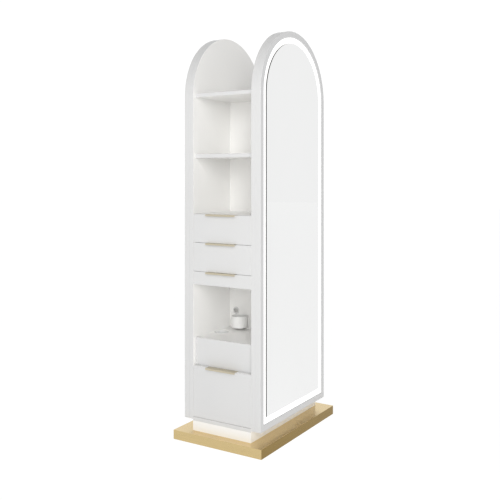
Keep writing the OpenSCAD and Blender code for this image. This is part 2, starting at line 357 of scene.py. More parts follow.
@dataclass(frozen=True)
class BrushedMetal:
    """Metal with a brushed grain that runs level on upright faces and along one axis on flat ones.

    Attributes:
        name: the material's name.
        colour: its colour on the faces towards X.
        side: a darker colour on the faces towards Y, painted shade, or None for the same.
        top: a lighter colour on the flat faces, painted light, or None for the same.
        roughness: how far it blurs what it reflects.
        grain_per_m: brush marks to the metre.
        anisotropy: how far the grain stretches highlights.
    """

    name: str
    colour: Colour
    side: Colour | None = None
    top: Colour | None = None
    roughness: float = 0.32
    grain_per_m: float = 900.0
    anisotropy: float = 0.4

    def make(self) -> bpy.types.Material:
        """Builds the material.

        Returns:
            The material.
        """
        shade = Shade(self.name)
        level = shade.noise((3.0, 3.0, self.grain_per_m), 3.0, 0.6)
        long_grain = shade.noise((3.0, self.grain_per_m, 3.0), 3.0, 0.6)
        flat = shade.facing("Z").smooth(0.4, 0.8)
        grain = level * (1.0 - flat) + long_grain * flat
        clouds = shade.noise((6.0, 6.0, 9.0), 3.0)
        smears = shade.noise((11.0, 14.0, 14.0), 4.0, 0.65).smooth(0.52, 0.8)
        tone: Any = self.colour
        # Painted shade: the faces towards Y take the darker side colour.
        if self.side:
            tone = shade.blend(shade.facing("Y").smooth(0.5, 0.9), tone, self.side)
        # Painted light: the flat faces take the lighter top colour.
        if self.top:
            tone = shade.blend(flat, tone, self.top)
        streaks = grain.smooth(0.35, 0.8) * 0.3 + clouds.smooth(0.25, 0.75) * 0.08
        shade.set(
            Base_Color=shade.shaded(tone, streaks, 0.6),
            Metallic=1.0,
            Roughness=self.roughness + (grain - 0.5) * 0.18 + smears * 0.06,
            Anisotropic=self.anisotropy,
        )
        shade.bump(grain, 0.3, 0.00004)
        return shade.material


@dataclass(frozen=True)
class PlatedSteel:
    """Zinc plated or spun steel: faint spangle and rubbed patches."""

    name: str
    colour: Colour = (0.62, 0.63, 0.65)
    roughness: float = 0.3

    def make(self) -> bpy.types.Material:
        """Builds the material.

        Returns:
            The material.
        """
        shade = Shade(self.name)
        spangle = shade.add(
            "ShaderNodeTexVoronoi", None, {"Vector": shade.stretched((1.0, 1.0, 1.0)), "Scale": 260.0}
        )
        rubbed = shade.noise((35.0, 35.0, 60.0), 4.0, 0.6).smooth(0.45, 0.7)
        fine = shade.noise((1500.0,) * 3, 1.0)
        flakes = Wire(shade, spangle.outputs["Distance"])
        shade.set(
            Base_Color=shade.blend(flakes.smooth(0.1, 0.7), self.colour, tinted(self.colour, 0.86)),
            Metallic=1.0,
            Roughness=self.roughness + rubbed * 0.14 + (fine - 0.5) * 0.05,
        )
        shade.bump(fine, 0.15, 0.00002)
        return shade.material


@dataclass(frozen=True)
class Moulded:
    """Moulded plastic or rubber with a spark-eroded grain."""

    name: str
    colour: Colour
    roughness: float = 0.45
    grain_per_m: float = 1300.0
    grain_height: float = 0.00005

    def make(self) -> bpy.types.Material:
        """Builds the material.

        Returns:
            The material.
        """
        shade = Shade(self.name)
        grain = shade.noise((self.grain_per_m,) * 3, 2.0, 0.6)
        clouds = shade.noise((14.0, 14.0, 14.0), 2.0)
        shade.set(
            Base_Color=shade.blend(clouds * 0.5 + grain * 0.3, self.colour, tinted(self.colour, 0.88)),
            Roughness=self.roughness + (grain - 0.5) * 0.16 + (clouds - 0.5) * 0.08,
        )
        shade.bump(grain, 0.3, self.grain_height)
        return shade.material


@dataclass(frozen=True)
class Fibreboard:
    """Raw medium density board: felted fibres and darker shives."""

    name: str
    colour: Colour

    def make(self) -> bpy.types.Material:
        """Builds the material.

        Returns:
            The material.
        """
        shade = Shade(self.name)
        fibres = shade.noise((260.0, 700.0, 700.0), 4.0, 0.7)
        shives = shade.noise((420.0, 150.0, 420.0), 3.0, 0.6).smooth(0.6, 0.75)
        clouds = shade.noise((4.0, 4.0, 4.0), 2.0)
        tone = shade.blend(fibres, tinted(self.colour, 0.8), tinted(self.colour, 1.15))
        shade.set(
            Base_Color=shade.blend(shives * 0.5, tone, tinted(self.colour, 0.55)),
            Roughness=0.82 + (clouds - 0.5) * 0.1,
        )
        shade.bump(fibres, 0.4, 0.00015)
        return shade.material


@dataclass(frozen=True)
class Opal:
    """Lit plastic, such as opal acrylic with a lamp behind it: an even glow with faint clouds."""

    name: str
    colour: Colour = (0.93, 0.93, 0.92)
    glow: Colour = (1.0, 0.995, 0.985)
    strength: float = 0.62

    def make(self) -> bpy.types.Material:
        """Builds the material.

        Returns:
            The material.
        """
        shade = Shade(self.name)
        milk = shade.noise((25.0, 25.0, 25.0), 3.0)
        haze = shade.noise((900.0,) * 3, 1.0)
        shade.set(
            Base_Color=shade.blend(milk * 0.4, self.colour, tinted(self.colour, 0.97)),
            Roughness=0.4 + (haze - 0.5) * 0.1,
            Emission_Color=shade.blend(milk.smooth(0.3, 0.7), self.glow, tinted(self.glow, 0.96)),
            Emission_Strength=self.strength,
        )
        shade.bump(haze, 0.1, 0.00003)
        return shade.material


@dataclass(frozen=True)
class Silvering:
    """Silvered float glass seen from the front: a clear reflection with a trace of haze."""

    name: str
    colour: Colour = (0.865, 0.868, 0.866)

    def make(self) -> bpy.types.Material:
        """Builds the material.

        Returns:
            The material.
        """
        shade = Shade(self.name)
        haze = shade.noise((3.0, 3.0, 2.0), 4.0, 0.6)
        dust = shade.noise((700.0,) * 3, 1.0).smooth(0.72, 0.8)
        shade.set(
            Base_Color=shade.blend(haze.smooth(0.3, 0.8) * 0.5, self.colour, tinted(self.colour, 0.98)),
            Metallic=1.0,
            Roughness=0.015 + haze.smooth(0.5, 0.8) * 0.02 + dust * 0.05,
        )
        return shade.material


@dataclass(frozen=True)
class GlassEdge:
    """Ground and polished edge of the mirror glass, where the light inside it dies to a deep green."""

    name: str
    colour: Colour = (0.01, 0.014, 0.013)

    def make(self) -> bpy.types.Material:
        """Builds the material.

        Returns:
            The material.
        """
        shade = Shade(self.name)
        grind = shade.noise((500.0, 500.0, 120.0), 3.0)
        shade.set(
            Base_Color=shade.blend(grind, self.colour, tinted(self.colour, 1.6)),
            Roughness=0.4 + (grind - 0.5) * 0.15,
            Specular_IOR_Level=0.12,
        )
        shade.bump(grind, 0.2, 0.00004)
        return shade.material


class Finish(Enum):
    """Every finish on the station."""

    BOARD = Lacquer("white_board_lacquer", (0.655, 0.655, 0.652))
    # A brighter copy of the white lacquer: painted light that keeps the cabinet's shelves, decks and inner
    # faces as bright as its outside, against the shade that falls in them.
    INSIDE_PAINTED_LIGHT = Lacquer("white_lacquer_painted_light", (0.90, 0.893, 0.875), 0.42, 0.1, 520.0)
    # A darker copy of the white lacquer on the frames' broad faces: painted shade for the dimmer light that
    # falls on the faces towards Y.
    FRAME_PAINTED_SHADE = Lacquer("mirror_frame_lacquer_painted_shade", (0.585, 0.585, 0.585), 0.32, 0.22, 360.0)
    DRAWER = Melamine("drawer_melamine", (0.76, 0.755, 0.74))
    RAW_BOARD = Fibreboard("raw_fibreboard", (0.42, 0.29, 0.17))
    # The gold sheet is darker on its faces towards Y, as painted shade, and lighter on its flat top, as
    # painted light.
    GOLD_SHEET = BrushedMetal(
        "gold_brushed_sheet_painted_shade_and_light", (0.64, 0.495, 0.25), (0.28, 0.185, 0.05), (0.76, 0.59, 0.31), 0.24, 850.0
    )
    GOLD_PULL = BrushedMetal("gold_anodised_pull", (0.60, 0.54, 0.41), roughness=0.3, grain_per_m=1600.0)
    OPAL = Opal("opal_acrylic")
    MIRROR = Silvering("silvered_glass")
    MIRROR_EDGE = GlassEdge("polished_glass_edge")
    STEEL = PlatedSteel("zinc_plated_steel")
    ENAMEL = Moulded("white_enamel", (0.86, 0.86, 0.85), 0.25, 700.0, 0.00002)
    DARK_PLASTIC = Moulded("black_plastic", (0.018, 0.018, 0.02))
    RUBBER = Moulded("glide_rubber", (0.022, 0.021, 0.02), 0.7, 900.0, 0.0001)
    WHITE_PLASTIC = Moulded("white_plastic", (0.88, 0.88, 0.865), 0.3, 1000.0, 0.00003)
    GREY_PLASTIC = Moulded("grey_plastic", (0.7, 0.7, 0.69), 0.4, 1000.0, 0.00003)
    STRIP = Moulded("led_strip_film", (0.8, 0.79, 0.74), 0.5, 800.0)
    CHIP = Opal("led_chip", (0.9, 0.75, 0.3), (1.0, 0.93, 0.75), 4.0)


class Paintbox:
    """Makes each finish's material once and hands it out again."""

    def __init__(self) -> None:
        """Starts empty."""
        self.made: dict[Finish, bpy.types.Material] = {}

    def get(self, finish: Finish) -> bpy.types.Material:
        """The material of a finish, made when it is first asked for.

        Args:
            finish: the finish.

        Returns:
            Its material.
        """
        if finish not in self.made:
            self.made[finish] = finish.value.make()
        return self.made[finish]


PAINTS = Paintbox()


# ---------------------------------------------------------------- mesh making


def new_object(name: str, build: bmesh.types.BMesh) -> bpy.types.Object:
    """Turns a bmesh into an object in the scene and frees it.

    Args:
        name: the object's name.
        build: the mesh under construction.

    Returns:
        The object, at the origin.
    """
    bmesh.ops.recalc_face_normals(build, faces=build.faces)
    mesh = bpy.data.meshes.new(name)
    build.to_mesh(mesh)
    build.free()
    item = bpy.data.objects.new(name, mesh)
    bpy.context.scene.collection.objects.link(item)
    return item


def settle(item: bpy.types.Object) -> bpy.types.Object:
    """Applies an object's modifiers to its mesh.

    Args:
        item: the object.

    Returns:
        The same object with a plain mesh and no modifiers.
    """
    graph = bpy.context.evaluated_depsgraph_get()
    graph.update()
    mesh = bpy.data.meshes.new_from_object(item.evaluated_get(graph))
    item.modifiers.clear()
    old = item.data
    item.data = mesh
    bpy.data.meshes.remove(old)
    return item


def weight_normals(item: bpy.types.Object) -> None:
    """Shades smooth and keeps broad faces flat between their rounded edges.

    Args:
        item: the object.
    """
    item.data.shade_smooth()
    modifier = item.modifiers.new("Flat faces", "WEIGHTED_NORMAL")
    modifier.keep_sharp = True
    modifier.weight = 80


def ease(item: bpy.types.Object, radius: float, segments: int = 3, limit: float = 35.0) -> bpy.types.Object:
    """Rounds an object's sharp edges and applies the result.

    Args:
        item: the object.
        radius: how wide the rounding is, in metres.
        segments: faces across the rounding.
        limit: edges sharper than this many degrees are rounded.

    Returns:
        The same object.
    """
    bevel = item.modifiers.new("Eased edges", "BEVEL")
    bevel.width = radius
    bevel.segments = segments
    bevel.limit_method = "ANGLE"
    bevel.angle_limit = math.radians(limit)
    bevel.use_clamp_overlap = True
    weight_normals(item)
    return settle(item)


def eased_copy(node: str, radius: float, segments: int = 3) -> bpy.types.Object:
    """A copy of a CAD node with its triangles merged to broad faces and its edges rounded.

    Args:
        node: the CAD node's name.
        radius: how wide the rounding is, in metres.
        segments: faces across the rounding.

    Returns:
        The new object.
    """
    build = bmesh.new()
    build.from_mesh(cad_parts[node].data)
    bmesh.ops.remove_doubles(build, verts=build.verts, dist=0.00001)
    bmesh.ops.dissolve_limit(
        build, angle_limit=math.radians(0.2), verts=build.verts, edges=build.edges
    )
    return ease(new_object(f"{node}_piece", build), radius, segments)


def loft(loops: Sequence[Sequence[Vector]], closed: bool) -> bmesh.types.BMesh:
    """Joins loops of equally many points with quads.

    Args:
        loops: the loops, each closed on itself.
        closed: True joins the last loop to the first, and False caps both ends.

    Returns:
        The mesh under construction.
    """
    build = bmesh.new()
    rows = [[build.verts.new(p) for p in loop] for loop in loops]
    pairs = list(zip(rows, rows[1:]))
    if closed:
        pairs.append((rows[-1], rows[0]))
    for low, high in pairs:
        count = len(low)
        for i in range(count):
            j = (i + 1) % count
            build.faces.new((low[i], low[j], high[j], high[i]))
    if not closed:
        build.faces.new(rows[0])
        build.faces.new(rows[-1])
    return build


def rounded(outline: Sequence[Point], radius: float | Sequence[float], steps: int = 4) -> list[Point]:
    """Replaces each corner of a closed outline with an arc.

    Args:
        outline: the corners.
        radius: one radius, or one for each corner.
        steps: straight pieces in each arc.

    Returns:
        The outline with rounded corners.
    """
    count = len(outline)
    radii = [radius] * count if isinstance(radius, (int, float)) else list(radius)
    result: list[Point] = []
    for i, size in enumerate(radii):
        corner = Vector(outline[i])
        before = Vector(outline[i - 1]) - corner
        after = Vector(outline[(i + 1) % count]) - corner
        if size <= 0.0:
            result.append(tuple(corner))
            continue
        half = before.angle(after) / 2
        reach = min(size / math.tan(half), before.length * 0.49, after.length * 0.49)
        real = reach * math.tan(half)
        middle = corner + (before.normalized() + after.normalized()).normalized() * (real / math.sin(half))
        start = corner + before.normalized() * reach - middle
        end = corner + after.normalized() * reach - middle
        turn = start.angle_signed(end)
        for k in range(steps + 1):
            spin = Matrix.Rotation(-turn * k / steps, 2)
            result.append(tuple(middle + spin @ start))
    return result


def join_all(name: str, parts: Sequence[bmesh.types.BMesh]) -> bpy.types.Object:
    """Puts several meshes under construction into one object.

    Args:
        name: the object's name.
        parts: the meshes, which are freed.

    Returns:
        The object.
    """
    whole = bmesh.new()
    for part in parts:
        scratch = bpy.data.meshes.new("part")
        part.to_mesh(scratch)
        part.free()
        whole.from_mesh(scratch)
        bpy.data.meshes.remove(scratch)
    return new_object(name, whole)


def dress(
    item: bpy.types.Object,
    finishes: Sequence[Finish],
    body: str,
    nodes: Sequence[str] = (),
) -> bpy.types.Object:
    """Gives a piece its materials, its body and the CAD nodes that it stands for.

    Args:
        item: the finished piece.
        finishes: one finish for each of its material slots.
        body: the body it rides on.
        nodes: the CAD nodes it replaces.

    Returns:
        The piece.
    """
    item.data.materials.clear()
    for finish in finishes:
        item.data.materials.append(PAINTS.get(finish))
    if nodes:
        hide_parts(*nodes)
    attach(item, body)
    LOG.info("%s: %d faces, on %s", item.name, len(item.data.polygons), body)
    return item


def paint_where(item: bpy.types.Object, slot: int, chosen: Callable[[bpy.types.MeshPolygon], bool]) -> None:
    """Gives one of a piece's finishes to some of its faces.

    Args:
        item: the piece.
        slot: the number of the finish.
        chosen: says whether a face takes it.
    """
    for face in item.data.polygons:
        if chosen(face):
            face.material_index = slot


# The faces this picks keep the plain lacquer; the rest take the brighter copy, which paints light.
def faces_out(face: bpy.types.MeshPolygon) -> bool:
    """Whether a face looks out of one of the two ends."""
    return abs(face.normal.x) > 0.5


def turned(point: Vector, end: int) -> Vector:
    """A point of the end that faces -X, turned to the end with this number."""
    return Vector((-point.x, -point.y, point.z)) if end else point


# ---------------------------------------------------------------- repeated small parts


class Scatter:
    """A Geometry Nodes tree that puts one small part on every point of a mesh."""

    def __init__(self, name: str) -> None:
        """Builds the tree.

        Args:
            name: the tree's name.
        """
        tree = bpy.data.node_groups.new(name, "GeometryNodeTree")
        side = tree.interface
        side.new_socket("Geometry", in_out="INPUT", socket_type="NodeSocketGeometry")
        self.part_id = side.new_socket("Part", in_out="INPUT", socket_type="NodeSocketObject").identifier
        self.turn_id = side.new_socket("Turn", in_out="INPUT", socket_type="NodeSocketVector").identifier
        self.size_id = side.new_socket("Size", in_out="INPUT", socket_type="NodeSocketFloat").identifier
        self.paint_id = side.new_socket("Paint", in_out="INPUT", socket_type="NodeSocketMaterial").identifier
        side.new_socket("Geometry", in_out="OUTPUT", socket_type="NodeSocketGeometry")
        graph = Graph(tree)
        source = graph.add("NodeGroupInput")
        part = graph.add("GeometryNodeObjectInfo", None, {"Object": source.outputs["Part"]})
        points = graph.add("GeometryNodeMeshToPoints", None, {"Mesh": source.outputs["Geometry"]})
        turn = graph.add("FunctionNodeEulerToRotation", None, {0: source.outputs["Turn"]})
        copies = graph.add(
            "GeometryNodeInstanceOnPoints",
            None,
            {
                "Points": points.outputs["Points"],
                "Instance": part.outputs["Geometry"],
                "Rotation": turn.outputs[0],
                "Scale": source.outputs["Size"],
            },
        )
        real = graph.add("GeometryNodeRealizeInstances", None, {"Geometry": copies.outputs[0]})
        painted = graph.add(
            "GeometryNodeSetMaterial",
            None,
            {"Geometry": real.outputs[0], "Material": source.outputs["Paint"]},
        )
        graph.add("NodeGroupOutput", None, {"Geometry": painted.outputs[0]})
        self.tree = tree

    def spread(
        self,
        name: str,
        part: bpy.types.Object,
        points: Sequence[Vector],
        finish: Finish,
        turn: Vector = Vector(),
        size: float = 1.0,
    ) -> bpy.types.Object:
        """Puts copies of a part on points and returns them as one plain mesh.

        Args:
            name: the new object's name.
            part: the part, modelled round the origin.
            points: where its copies go.
            finish: the copies' finish.
            turn: Euler angles of every copy.
            size: scale of every copy.

        Returns:
            The object.
        """
        mesh = bpy.data.meshes.new(name)
        mesh.from_pydata([tuple(p) for p in points], [], [])
        item = bpy.data.objects.new(name, mesh)
        bpy.context.scene.collection.objects.link(item)
        modifier = item.modifiers.new("Scatter", "NODES")
        modifier.node_group = self.tree
        modifier[self.part_id] = part
        modifier[self.turn_id] = turn
        modifier[self.size_id] = size
        modifier[self.paint_id] = PAINTS.get(finish)
        return settle(item)


@dataclass
class SmallParts:
    """Masters of the parts that repeat, kept out of the scene, and the tree that spreads them."""

    scatter: Scatter = field(default_factory=lambda: Scatter("small_parts"))
    screw_r: float = 3.4 * MM
    screw_h: float = 1.5 * MM
    chip: Triple = (5.0 * MM, 1.0 * MM, 5.0 * MM)

    def master(self, name: str, build: bmesh.types.BMesh) -> bpy.types.Object:
        """An object that is only copied from and never shown.

        Args:
            name: its name.
            build: its mesh under construction.

        Returns:
            The object, out of the scene.
        """
        item = new_object(name, build)
        item.data.shade_smooth()
        bpy.context.scene.collection.objects.unlink(item)
        return item

    def screw(self) -> bpy.types.Object:
        """A pan head with a cross recess.

        Returns:
            The master object, its flat side at the origin and its crown up +Z.
        """
        steps = 16
        loops = []
        for r, h in ((1.0, 0.0), (0.97, 0.45), (0.75, 0.85), (0.42, 1.0)):
            loops.append([
                Vector((r * self.screw_r * math.cos(a), r * self.screw_r * math.sin(a), h * self.screw_h))
                for a in (2 * math.pi * k / steps for k in range(steps))
            ])
        cross = []
        for k in range(steps):
            a = 2 * math.pi * k / steps
            r = self.screw_r * (0.36 if k % 4 == 0 else 0.14)
            cross.append(Vector((r * math.cos(a), r * math.sin(a), self.screw_h * 0.98)))
        loops.append(cross)
        loops.append([Vector((p.x * 0.6, p.y * 0.6, self.screw_h * 0.35)) for p in cross])
        return self.master("screw_master", loft(loops, closed=False))

    def screws(self, name: str, body: str, places: Sequence[Vector], turn: Triple, size: float = 1.0) -> None:
        """Puts steel screws on a body.

        Args:
            name: the new piece's name.
            body: the body that holds them.
            places: where their flat sides sit.
            turn: Euler angles of every screw, whose crown is up +Z unturned.
            size: scale of every screw.
        """
        piece = self.scatter.spread(name, self.screw(), places, Finish.STEEL, Vector(turn), size)
        dress(piece, [Finish.STEEL], body)

    def ball(self, radius: float) -> bpy.types.Object:
        """A bearing ball.

        Args:
            radius: its radius in metres.

        Returns:
            The master object.
        """
        build = bmesh.new()
        bmesh.ops.create_icosphere(build, subdivisions=2, radius=radius)
        return self.master("ball_master", build)

    def led(self) -> bpy.types.Object:
        """An LED chip with a slightly tapered cap.

        Returns:
            The master object, its back at y = 0 and its face towards -Y.
        """
        x, y, z = (d / 2 for d in self.chip)
        loops = []
        for depth, share in ((0.0, 1.0), (0.7, 1.0), (1.0, 0.8)):
            loops.append([
                Vector((sx * x * share, -depth * 2 * y, sz * z * share))
                for sx, sz in ((-1, -1), (1, -1), (1, 1), (-1, 1))
            ])
        return self.master("chip_master", loft(loops, closed=False))


PARTS = SmallParts()


# ---------------------------------------------------------------- sub-assemblies


@dataclass
class Boards:
    """The plain boards of the cabinet, each with eased and lacquered edges.

    Attributes:
        body: the body they belong to.
        edge: how wide their edges are rounded.
        painted_light_inside: the boards whose ends show outside, in the plain lacquer there and elsewhere in
            the brighter copy that paints light into the shaded insides.
        inner: the boards in that brighter copy all over, as painted light.
    """

    body: str = "cabinet"
    edge: float = 1.0 * MM
    painted_light_inside: tuple[str, ...] = (
        "carcass_boards",
        "top_board",
        "middle_shelves",
        "counter_boards",
        "tool_decks",
        "tool_fronts",
    )
    inner: tuple[str, ...] = ("plinth", "divider")

    def build(self) -> None:
        """Makes and dresses every board."""
        for node in self.painted_light_inside:
            board = eased_copy(node, self.edge)
            # Outward ends take the plain lacquer, and every other face takes the brighter copy as painted
            # light.
            dress(board, [Finish.INSIDE_PAINTED_LIGHT, Finish.BOARD], self.body, [node])
            paint_where(board, 1, faces_out)
        for node in self.inner:
            # These boards take the brighter copy all over, as painted light in the shaded insides.
            dress(eased_copy(node, self.edge), [Finish.INSIDE_PAINTED_LIGHT], self.body, [node])


@dataclass
class Platform:
    """The low platform: a gold sheet cover over a board core, on rubber glides."""

    body: str = "cabinet"
    cover_edge: float = 1.4 * MM
    core_edge: float = 0.8 * MM
    glide_r: float = 20.0 * MM
    glide_lip: float = 0.8 * MM
    screw_edge: float = 0.3 * MM

    def build(self) -> None:
        """Makes and dresses the platform's pieces."""
        cover = eased_copy("base_cover", self.cover_edge, 4)
        dress(cover, [Finish.GOLD_SHEET], self.body, ["base_cover"])
        core = eased_copy("base_core", self.core_edge, 2)
        dress(core, [Finish.RAW_BOARD], self.body, ["base_core"])
        screws = eased_copy("assembly_screws", self.screw_edge, 2)
        dress(screws, [Finish.STEEL], self.body, ["assembly_screws"])
        dress(self.glides(), [Finish.RUBBER], self.body, ["base_glides"])

    def glides(self) -> bpy.types.Object:
        """Round pads with a rolled edge and a shallow dished foot.

        Returns:
            The pads as one object.
        """
        low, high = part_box("base_glides")
        reach = Vector((high.x - self.glide_r, high.y - self.glide_r))
        tall = high.z - low.z
        r = self.glide_r
        lip = self.glide_lip
        rings = [
            (r * 0.30, 0.5 * lip),
            (r * 0.55, 0.5 * lip),
            (r * 0.62, 0.0),
            (r - lip, 0.0),
            (r - 0.3 * lip, 0.3 * lip),
            (r, lip),
            (r, tall),
        ]
        pads = [
            stack_rings(rings, Vector((x * reach.x, y * reach.y, low.z)))
            for x in (-1, 0, 1)
            for y in (-1, 0, 1)
        ]
        pads_piece = join_all("base_glides_piece", pads)
        weight_normals(pads_piece)
        return settle(pads_piece)


def stack_rings(
    profile: Sequence[Point], centre: Vector, axis: str = "Z", steps: int = 48, closed: bool = False
) -> bmesh.types.BMesh:
    """Stacks rings along a profile into a turned shape.

    Args:
        profile: [radius, height along the axis] of each ring in turn.
        centre: a point on the axis, where the height is zero.
        axis: X or Z.
        steps: facets round each ring.
        closed: True joins the last ring to the first, and False caps both ends.

    Returns:
        The mesh under construction.
    """
    loops = []
    for r, h in profile:
        ring = []
        for k in range(steps):
            a = 2 * math.pi * k / steps
            flat = Vector((r * math.cos(a), r * math.sin(a), h))
            ring.append(centre + (Vector((flat.z, flat.x, flat.y)) if axis == "X" else flat))
        loops.append(ring)
    return loft(loops, closed)


@dataclass
class MirrorPanel:
    """One tall arched panel: side board, moulded frame, glowing ring and mirror glass."""

    side: str
    body: str = "cabinet"
    arch_steps: int = 96
    diffuser_t: float = 3.0 * MM
    face_round: float = 2.0 * MM
    board_round: float = 1.0 * MM
    glass_arris: float = 0.5 * MM
    led_w: float = 10.0 * MM
    led_t: float = 1.5 * MM
    chip_pitch: float = 25.0 * MM
    mitre_ease: float = 1.0 * MM
    mitre_limit: float = 55.0
    inner_rounds: Triple = (1.2 * MM, 0.8 * MM, 0.3 * MM)
    diffuser_round: float = 0.4 * MM

    def __post_init__(self) -> None:
        """Reads the panel's size and place from the frame."""
        low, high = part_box(f"{self.side}_mirror_frame")
        self.inward = 1.0 if low.y < 0 else -1.0
        self.face_y = low.y if self.inward > 0 else high.y
        self.half_w = high.x
        self.bottom = low.z
        self.arch_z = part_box(f"{self.side}_side_board")[1].z - self.half_w
        self.frame_t = high.y - low.y
        board_low, board_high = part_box(f"{self.side}_side_board")
        self.board_t = board_high.y - board_low.y
        self.border = self.half_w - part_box(f"{self.side}_light_diffuser")[1].x
        self.ring_in = self.half_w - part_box(f"{self.side}_mirror_glass")[1].x
        self.ring_front = self.depth_of(f"{self.side}_light_diffuser")[0]
        self.glass_front, self.glass_back = self.depth_of(f"{self.side}_mirror_glass")
        self.led_front = self.depth_of("led_strips")[0]

    def depth_of(self, node: str) -> Point:
        """How deep a node lies behind the frame's outer face.

        Args:
            node: the node's name.

        Returns:
            The depths of its front and back.
        """
        low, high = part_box(node)
        ends = sorted(abs(y - self.face_y) for y in (low.y, high.y))
        return ends[0], ends[1]

    def loop(self, inset: float, depth: float) -> list[Vector]:
        """The panel's outline at an inset from its edge and a depth behind its outer face.

        Args:
            inset: distance inwards from the outer edge.
            depth: distance behind the outer face.

        Returns:
            The points: the two lower corners, then the arch.
        """
        r = self.half_w - inset
        y = self.face_y + self.inward * depth
        points = [Vector((-r, y, self.bottom + inset)), Vector((r, y, self.bottom + inset))]
        for k in range(self.arch_steps + 1):
            a = math.pi * k / self.arch_steps
            points.append(Vector((r * math.cos(a), y, self.arch_z + r * math.sin(a))))
        return points

    def rail(self, name: str, profile: Sequence[Point]) -> bpy.types.Object:
        """A closed rail with this profile, following the panel's edge.

        Args:
            name: the object's name.
            profile: [inset, depth] points of the closed section.

        Returns:
            The object, with its mitred corners eased.
        """
        build = loft([self.loop(s, d) for s, d in profile], closed=True)
        return ease(new_object(name, build), self.mitre_ease, 2, self.mitre_limit)

    def plate(self, name: str, inset: float, front: float, back: float, edge: float) -> bpy.types.Object:
        """A solid plate with the panel's outline and rounded edges.

        Args:
            name: the object's name.
            inset: distance of its edge inwards from the panel's edge.
            front: depth of its outer face.
            back: depth of its inner face.
            edge: radius of its edges.

        Returns:
            The object.
        """
        arc = [
            (edge * (1 - math.sin(a)), edge * (1 - math.cos(a)))
            for a in (math.pi / 2 * k / 3 for k in range(4))
        ]
        section = [(inset + s, front + d) for s, d in arc]
        section += [(inset + s, back - d) for s, d in reversed(arc)]
        build = loft([self.loop(s, d) for s, d in section], closed=False)
        return ease(new_object(name, build), edge, 2, self.mitre_limit)

    def build(self) -> None:
        """Makes and dresses the panel's pieces."""
        side = self.side
        board = self.plate(
            f"{side}_side_board_piece", 0.0, self.frame_t, self.frame_t + self.board_t, self.board_round
        )
        # The face that looks into the cabinet takes the brighter copy of the lacquer, as painted light.
        dress(board, [Finish.BOARD, Finish.INSIDE_PAINTED_LIGHT], self.body, [f"{side}_side_board"])
        paint_where(board, 1, lambda face: face.normal.y * self.inward > 0.9)
        section = rounded(
            [
                (0.0, 0.0),
                (self.border - self.ring_front, 0.0),
                (self.border, self.ring_front),
                (self.border, self.frame_t),
                (0.0, self.frame_t),
            ],
            [self.face_round, *self.inner_rounds, self.board_round],
        )
        rail = self.rail(f"{side}_mirror_frame_piece", section)
        # The frame's broad faces take the darker copy of the lacquer, as painted shade, and its edges take
        # the plain lacquer.
        dress(rail, [Finish.FRAME_PAINTED_SHADE, Finish.BOARD], self.body, [f"{side}_mirror_frame"])
        paint_where(rail, 1, lambda face: abs(face.normal.y) < 0.5)
        ring_section = rounded(
            [
                (self.border, self.ring_front),
                (self.ring_in, self.glass_back),
                (self.ring_in, self.glass_back + self.diffuser_t),
                (self.border, self.ring_front + self.diffuser_t),
            ],
            self.diffuser_round,
            2,
        )
        ring = self.rail(f"{side}_light_diffuser_piece", ring_section)
        dress(ring, [Finish.OPAL], self.body, [f"{side}_light_diffuser"])
        self.glass()

    def glass(self) -> None:
        """Makes the mirror glass, silvered on its broad faces and polished round its edge."""
        name = f"{self.side}_mirror_glass"
        pane = self.plate(f"{name}_piece", self.ring_in, self.glass_front, self.glass_back, self.glass_arris)
        dress(pane, [Finish.MIRROR, Finish.MIRROR_EDGE], self.body, [name])
        paint_where(pane, 1, lambda face: abs(face.normal.y) < 0.9)

    def led_ring(self) -> tuple[list[Point], list[Vector]]:
        """The LED strip's section and the places of its chips.

        Returns:
            The section's corners as insets and depths, and the places.
        """
        middle = (self.border + self.ring_in) / 2
        back = self.led_front + self.led_t
        half = self.led_w / 2
        section = [
            (middle - half, back - self.led_t),
            (middle + half, back - self.led_t),
            (middle + half, back),
            (middle - half, back),
        ]
        path = self.loop(middle, self.led_front)
        return section, spaced(path, self.chip_pitch)


def spaced(path: Sequence[Vector], pitch: float) -> list[Vector]:
    """Points along a closed path, equally far apart.

    Args:
        path: the path's corners.
        pitch: the distance wanted between neighbours.

    Returns:
        The points.
    """
    legs = [(path[i], path[(i + 1) % len(path)]) for i in range(len(path))]
    total = sum((b - a).length for a, b in legs)
    count = round(total / pitch)
    step = total / count
    found: list[Vector] = []
    walked = 0.0
    for a, b in legs:
        long = (b - a).length
        while len(found) < count and len(found) * step < walked + long:
            found.append(a.lerp(b, (len(found) * step - walked) / long))
        walked += long
    return found


@dataclass
class MirrorInsides:
    """What both panels hold behind the glass: backer and spacer boards, and LED strips with chips."""

    panels: Sequence[MirrorPanel]
    body: str = "cabinet"
    board_edge: float = 0.4 * MM

    def build(self) -> None:
        """Makes and dresses the hidden pieces."""
        backers = eased_copy("mirror_backers", self.board_edge, 2)
        dress(backers, [Finish.RAW_BOARD], self.body, ["mirror_backers"])
        strips = []
        for panel in self.panels:
            section, places = panel.led_ring()
            strips.append(loft([panel.loop(s, d) for s, d in section], closed=True))
            turn = Vector((0.0, 0.0, 0.0 if panel.inward > 0 else math.pi))
            chips = PARTS.scatter.spread(
                f"{panel.side}_led_chips", PARTS.led(), places, Finish.CHIP, turn
            )
            dress(chips, [Finish.CHIP], self.body)
        film = join_all("led_strips_piece", strips)
        dress(film, [Finish.STRIP], self.body, ["led_strips"])


